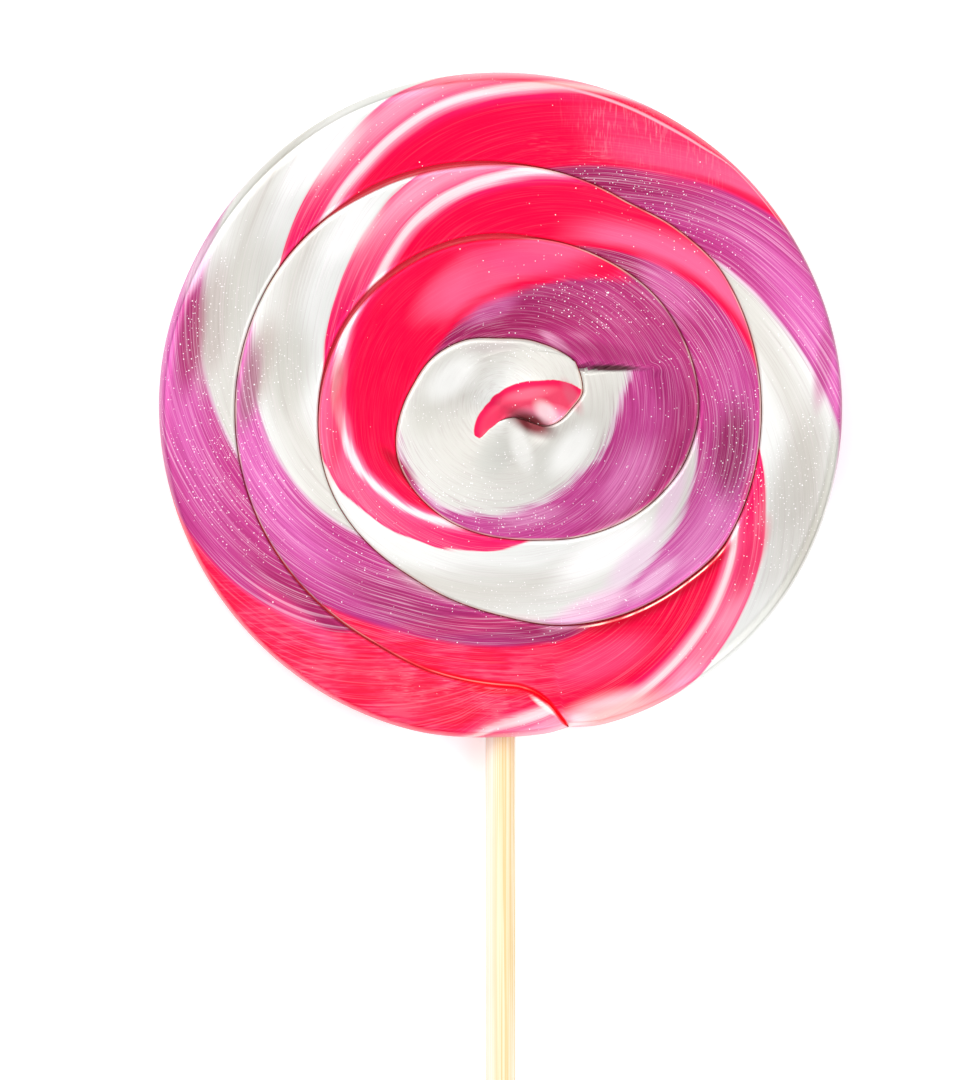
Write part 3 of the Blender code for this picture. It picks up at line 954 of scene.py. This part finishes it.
    def glitter(self, colour):
        """Dots in two sizes, thin all over, crowded in the zones and few in the red."""
        clouds = self.noise(self.position, 1.0 / CLOUD_SIZE, dimensions="3D")
        crowd = self.span(clouds, 0.35, 0.65, 0.0, 0.3)
        for zone in SPARKLE_ZONES:
            crowd = self.math("MAXIMUM", crowd, self.math("MULTIPLY", self.soft_spot(*zone), 1.6, clamp=True))
        crowd = self.product(crowd, self.math("SUBTRACT", 1.0, self.product(self.in_red, 0.85)), 0.9)
        for spacing, dot_size in GLITTER_LAYERS:
            cells = self.node("ShaderNodeTexVoronoi", {"Vector": self.position, "Scale": 1.0 / spacing})
            pick = self.node("ShaderNodeSeparateXYZ", {0: cells.outputs["Color"]})
            size = self.product(self.math("ADD", 0.5, pick.outputs[1]), dot_size)
            dot = self.span(self.math("DIVIDE", cells.outputs["Distance"], size), 1.0, 0.6)
            shown = self.span(self.math("SUBTRACT", crowd, pick.outputs[0]), 0.0, 0.02)
            colour = self.mix(self.product(dot, shown), colour, linear(GLITTER))
        return colour

    def paint_rim_light_and_shade(self, colour):
        """Painted light and shade on the rim, which changes round the disc: painted shade on the shoulder,
        pink and grey painted shade, a painted highlight line at the bend, and a dusky painted shade on the
        right.
        """
        shoulder = self.product(self.band(self.from_outer, *SHOULDER),
                                self.band(self.turns, *RIM_LOWER_RIGHT))
        colour = self.mix(shoulder, colour, linear(RIM_SHOULDER_PAINTED_SHADE), blend="MULTIPLY")
        pink_parts = self.math("MAXIMUM", self.band(self.turns, *RIM_BY_NOTCH),
                               self.band(self.turns, *RIM_TOP))
        pink = self.product(pink_parts, self.span(self.from_outer, *RIM_PINK_WIDTH))
        colour = self.mix(pink, colour, linear(RIM_PINK_PAINTED_SHADE), blend="MULTIPLY")
        grey = self.product(self.span(self.rim_place, 1.0, 0.8, 0.0, 0.85),
                            self.band(self.turns, *RIM_UPPER_LEFT))
        colour = self.mix(grey, colour, linear(RIM_GREY_PAINTED_SHADE), blend="MULTIPLY")
        bend = self.product(self.around(self.rim_place, 1.0, 0.20, 0.05), 0.65,
                            self.band(self.turns, *RIM_UPPER_RIGHT))
        colour = self.mix(bend, colour, linear(RIM_PAINTED_HIGHLIGHT_LINE))
        dusk = self.product(self.span(self.rim_place, 0.9, 0.5, 0.0, 0.8), self.band(self.turns, *RIM_RIGHT))
        return self.mix(dusk, colour, linear(RIM_DUSK_PAINTED_SHADE), blend="MULTIPLY")

    def scuffs(self, colour):
        for stretch, zones in SCUFFED_ZONES:
            marks = self.noise(self.stretched(self.position, stretch), 1.0 / SCUFF_WIDTH, roughness=0.6,
                               dimensions="3D")
            scuffed = self.product(self.span(marks, 0.50, 0.68, 0.0, 0.38), self.in_red,
                                   self.span(self.patches, 0.42, 0.58, 0.2, 1.0))
            for zone in zones:
                colour = self.mix(self.product(self.soft_spot(*zone), scuffed), colour, linear(SCUFF))
        return colour

    def notch_crease_painted_glow(self, colour):
        """Deep red in the crease from the notch, and on the side of the rope's tail, with a painted glow: it
        gives off red light though it is no lamp.
        """
        crease = self.product(self.band(self.turns, *NOTCH_CREASE), self.span(self.from_outer, 0.8, 0.5))
        tail_side = self.product(self.span(self.across, 0.07, 0.03), self.span(self.turns, 0.03, 0.0))
        crease = self.math("MAXIMUM", crease, tail_side)
        # Painted glow: red emission that lights the crease's shade
        self.shader.inputs["Emission Color"].default_value = linear(CREASE_RED_PAINTED_GLOW)
        self.connect(self.product(crease, 0.45), self.shader.inputs["Emission Strength"])
        return self.mix(crease, colour, linear(CREASE_RED_PAINTED_GLOW))

    def seam_lines(self, colour):
        """The ledge outside the seam at the lower right with its painted shadow and painted highlight line, a
        painted highlight on the lip along the seam, and the crack in darker red with its shade painted in.
        """
        ledge = self.band(self.turns, *LEDGE)
        ledge_shadow = self.product(ledge, self.span(self.across, 0.16, 0.05, 0.0, 0.8))
        colour = self.mix(ledge_shadow, colour, linear(LEDGE_PAINTED_SHADOW))
        ledge_highlight_line = self.product(ledge, self.around(self.across, *LEDGE_LINE),
                                  self.span(self.broad, 0.38, 0.60, 0.15, 0.85))
        colour = self.mix(ledge_highlight_line, colour, linear(LIP_PAINTED_HIGHLIGHT))
        lip = self.product(self.span(self.from_outer, 0.32, 0.16), self.span(self.turns, *LIP_START),
                           self.span(self.broad, 0.35, 0.6, 0.15, 0.6))
        colour = self.mix(lip, colour, linear(LIP_PAINTED_HIGHLIGHT))
        # The crack: darker red, painted shade
        return self.mix(self.product(self.crack, 0.9), colour, linear(CRACK_RED_WITH_PAINTED_SHADE))

    def finish(self, colour):
        """Satin sheen that runs across the drawn lines."""
        inputs = self.shader.inputs
        self.connect(colour, inputs["Base Color"])
        inputs["Metallic"].default_value = 0.35
        inputs["Anisotropic"].default_value = 0.8
        inputs["Specular IOR Level"].default_value = 0.12
        self.connect(self.span(self.lines, 0.3, 0.7, 0.30, 0.40), inputs["Roughness"])
        tangent = self.node("ShaderNodeTangent", direction_type="UV_MAP", uv_map="drawn").outputs[0]
        self.connect(tangent, inputs["Tangent"])
        self.bump(self.lines, 0.35, LINE_DEPTH)


def candy_surface():
    candy = CandySurface()
    colour = candy.stripes()
    for step in (candy.glow, candy.worn_red, candy.paint_sheen_and_tone_spots, candy.worn_dashes, candy.drawn_lines,
                 candy.pink_hook, candy.glitter, candy.paint_rim_light_and_shade, candy.scuffs, candy.notch_crease_painted_glow,
                 candy.seam_lines):
        colour = step(colour)
    candy.finish(colour)
    return candy.material


def bamboo_surface():
    """Pale bamboo with fibres along it, with a painted highlight that makes its left side lighter."""
    s = Surface("bamboo")
    position = s.node("ShaderNodeTexCoord").outputs["Object"]
    lengthwise = s.stretched(position, FIBRE_STRETCH)
    fibre = s.noise(lengthwise, 1.0 / FIBRE_WIDTH, detail=1.0, roughness=0.6, dimensions="3D")
    band = s.noise(lengthwise, 1.0 / FIBRE_BAND, detail=1.0, dimensions="3D")
    colour = s.ramp(fibre, BAMBOO_STOPS)
    colour = s.mix(s.span(band, 0.46, 0.60, 0.0, 0.4), colour, linear(BAMBOO_DARK))
    aside = s.node("ShaderNodeSeparateXYZ", {0: position}).outputs[0]
    # Painted highlight on the left side
    colour = s.mix(s.span(aside, *BAMBOO_LIT_SIDE, 0.0, 0.75), colour, linear(BAMBOO_PAINTED_HIGHLIGHT))
    s.connect(colour, s.shader.inputs["Base Color"])
    s.shader.inputs["Roughness"].default_value = 0.55
    s.bump(fibre, 0.4, FIBRE_DEPTH)
    return s.material


def make_floor():
    bpy.ops.object.select_all(action="DESELECT")
    bpy.ops.mesh.primitive_plane_add(size=FLOOR_SIZE, location=(0, 0, 0))
    floor_plane = bpy.context.object
    floor_plane.name = "floor"
    s = Surface("pale_floor")
    s.shader.inputs["Base Color"].default_value = (0.97, 0.97, 0.97, 1)
    s.shader.inputs["Roughness"].default_value = 0.9
    s.shader.inputs["Specular IOR Level"].default_value = 0.1
    s.shader.inputs["Emission Color"].default_value = (1, 1, 1, 1)
    s.shader.inputs["Emission Strength"].default_value = FLOOR_GLOW
    floor_plane.data.materials.append(s.material)


def add_softbox(name, azimuth, elevation, size, power):
    """A square soft light, aimed at the candy."""
    lamp = bpy.data.objects.new(name, bpy.data.lights.new(name, "AREA"))
    bpy.context.scene.collection.objects.link(lamp)
    direction = Vector((cos(radians(azimuth)) * cos(radians(elevation)),
                        sin(radians(azimuth)) * cos(radians(elevation)), sin(radians(elevation))))
    lamp.location = direction * SOFTBOX_DISTANCE
    lamp.rotation_euler = (-direction).to_track_quat("-Z", "Y").to_euler()
    lamp.data.size = size
    lamp.data.energy = power


def make_lights():
    for softbox in SOFTBOXES:
        add_softbox(*softbox)
    world = bpy.data.worlds.new("studio")
    bpy.context.scene.world = world
    world.use_nodes = True
    background = world.node_tree.nodes["Background"]
    background.inputs[0].default_value = (1, 1, 1, 1)
    background.inputs[1].default_value = WORLD_LIGHT
    bpy.context.scene.view_settings.view_transform = "Standard"


def make_camera():
    """Straight down on the candy, framed as the photograph is."""
    data = bpy.data.cameras.new("camera")
    camera = bpy.data.objects.new("camera", data)
    bpy.context.scene.collection.objects.link(camera)
    x = (PHOTO_WIDTH / 2 - DISC_CENTRE_X) * PIXEL
    y = (DISC_CENTRE_Y - PHOTO_HEIGHT / 2) * PIXEL
    camera.location = (x, y, THICKNESS + CAMERA_DISTANCE)
    data.sensor_width = SENSOR_WIDTH
    data.lens = SENSOR_WIDTH * CAMERA_DISTANCE / (PHOTO_HEIGHT * PIXEL)
    data.clip_start = 0.01
    data.clip_end = 20.0
    bpy.context.scene.camera = camera


candy = make_candy()
candy.data.materials.clear()
candy.data.materials.append(candy_surface())
stick = make_stick()
stick.data.materials.append(bamboo_surface())
for piece, node, slot in ((candy, "candy_swirl", "pulled_candy"), (stick, "stick", "bamboo")):
    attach(piece, "root")
    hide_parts(node)
make_floor()
make_lights()
make_camera()
